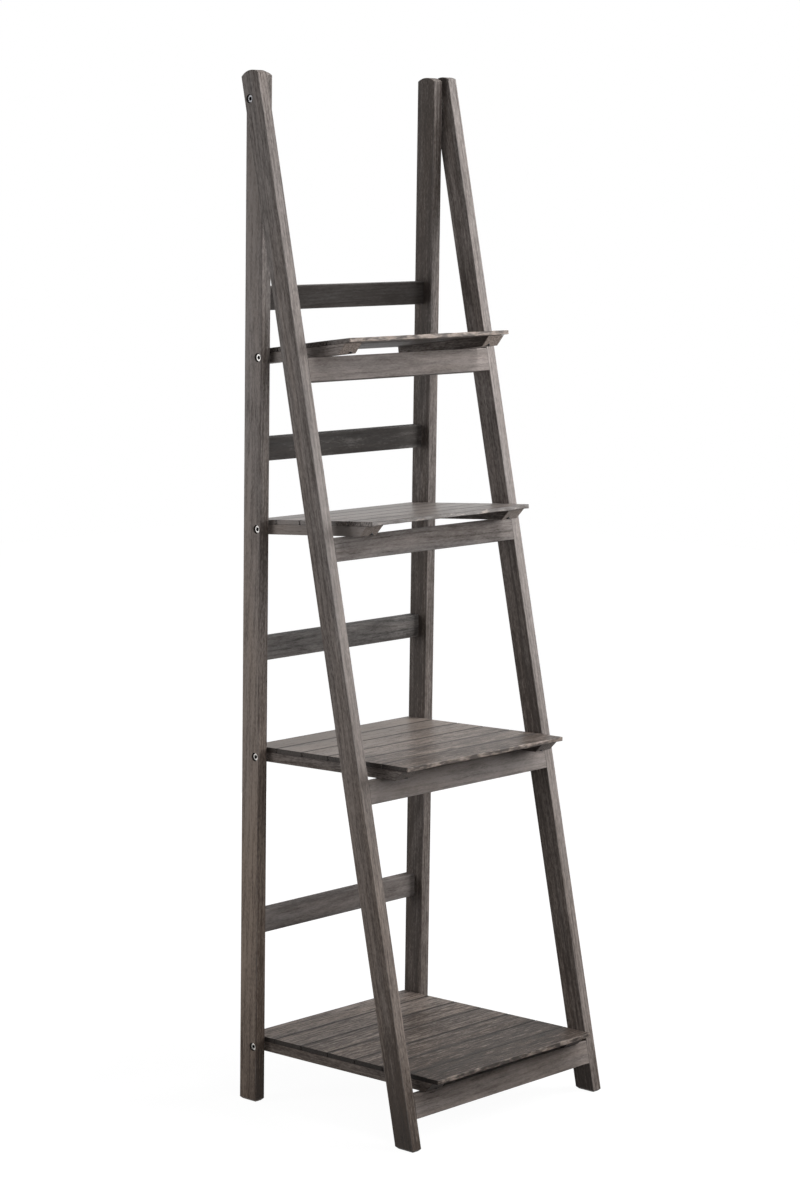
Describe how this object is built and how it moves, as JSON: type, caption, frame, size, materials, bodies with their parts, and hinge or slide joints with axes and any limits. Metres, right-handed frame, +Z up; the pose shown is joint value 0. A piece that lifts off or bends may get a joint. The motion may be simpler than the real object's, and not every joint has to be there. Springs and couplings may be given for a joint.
{
  "type": "step shelf",
  "caption": "Folding A-frame step shelf: two bolted wooden ladder frames carrying slatted shelves that deepen towards the floor and fold up.",
  "frame": {"origin": "centre of the bounding box on the floor, midway between the bottom shelf's front edge and the rear feet", "axes": "+X to the right seen from the front, +Y from front to back, +Z up"},
  "size_m": [0.415, 0.3794, 1.5],
  "materials": {
    "leg_wood": "weathered grey-brown stain, matt, open grain",
    "rail_wood": "weathered grey-brown stain, matt, open grain",
    "slat_wood": "weathered grey-brown stain, matt, open grain, rubbed through on the front edges",
    "batten_wood": "weathered grey-brown stain, matt, open grain",
    "dowel_wood": "plain beech, unfinished",
    "steel": "zinc plated, satin",
    "brass": "plain, machined"
  },
  "bodies": {
    "rear_frame": {"rear_leg_right": "leg_wood", "rear_leg_left": "leg_wood", "rear_rail_1": "rail_wood", "rear_rail_2": "rail_wood", "rear_rail_3": "rail_wood", "rear_rail_4": "rail_wood", "rear_rail_dowels": "dowel_wood", "pivot_bolts": "steel", "pivot_inserts": "brass", "pivot_washers": "steel", "shelf_washers": "steel"},
    "front_frame": {"front_leg_right": "leg_wood", "front_leg_left": "leg_wood", "front_rail_1": "rail_wood", "front_rail_2": "rail_wood", "front_rail_3": "rail_wood", "front_rail_4": "rail_wood", "front_rail_dowels": "dowel_wood"},
    "shelf_1": {"shelf_1_batten_right": "batten_wood", "shelf_1_batten_left": "batten_wood", "shelf_1_slat_1": "slat_wood", "shelf_1_slat_2": "slat_wood", "shelf_1_slat_3": "slat_wood", "shelf_1_slat_4": "slat_wood", "shelf_1_slat_screws": "steel", "shelf_1_bolts": "steel", "shelf_1_inserts": "brass"},
    "shelf_2": {"shelf_2_batten_right": "batten_wood", "shelf_2_batten_left": "batten_wood", "shelf_2_slat_1": "slat_wood", "shelf_2_slat_2": "slat_wood", "shelf_2_slat_3": "slat_wood", "shelf_2_slat_4": "slat_wood", "shelf_2_slat_5": "slat_wood", "shelf_2_slat_screws": "steel", "shelf_2_bolts": "steel", "shelf_2_inserts": "brass"},
    "shelf_3": {"shelf_3_batten_right": "batten_wood", "shelf_3_batten_left": "batten_wood", "shelf_3_slat_1": "slat_wood", "shelf_3_slat_2": "slat_wood", "shelf_3_slat_3": "slat_wood", "shelf_3_slat_4": "slat_wood", "shelf_3_slat_5": "slat_wood", "shelf_3_slat_6": "slat_wood", "shelf_3_slat_screws": "steel", "shelf_3_bolts": "steel", "shelf_3_inserts": "brass"},
    "shelf_4": {"shelf_4_batten_right": "batten_wood", "shelf_4_batten_left": "batten_wood", "shelf_4_slat_1": "slat_wood", "shelf_4_slat_2": "slat_wood", "shelf_4_slat_3": "slat_wood", "shelf_4_slat_4": "slat_wood", "shelf_4_slat_5": "slat_wood", "shelf_4_slat_6": "slat_wood", "shelf_4_slat_7": "slat_wood", "shelf_4_slat_screws": "steel", "shelf_4_bolts": "steel", "shelf_4_inserts": "brass"}
  },
  "joints": [
    {"name": "frame_pivot", "type": "hinge", "parent": "rear_frame", "child": "front_frame", "pos_m": [0, 0.13544, 1.46], "axis": [1, 0, 0], "range_deg": [0, 11]},
    {"name": "shelf_1_fold", "type": "hinge", "parent": "rear_frame", "child": "shelf_1", "pos_m": [0, 0.14248, 1.09667], "axis": [-1, 0, 0], "range_deg": [0, 77]},
    {"name": "shelf_2_fold", "type": "hinge", "parent": "rear_frame", "child": "shelf_2", "pos_m": [0, 0.14725, 0.85042], "axis": [-1, 0, 0], "range_deg": [0, 82]},
    {"name": "shelf_3_fold", "type": "hinge", "parent": "rear_frame", "child": "shelf_3", "pos_m": [0, 0.15369, 0.51767], "axis": [-1, 0, 0], "range_deg": [0, 85]},
    {"name": "shelf_4_fold", "type": "hinge", "parent": "rear_frame", "child": "shelf_4", "pos_m": [0, 0.16211, 0.08336], "axis": [-1, 0, 0], "range_deg": [0, 86]}
  ]
}
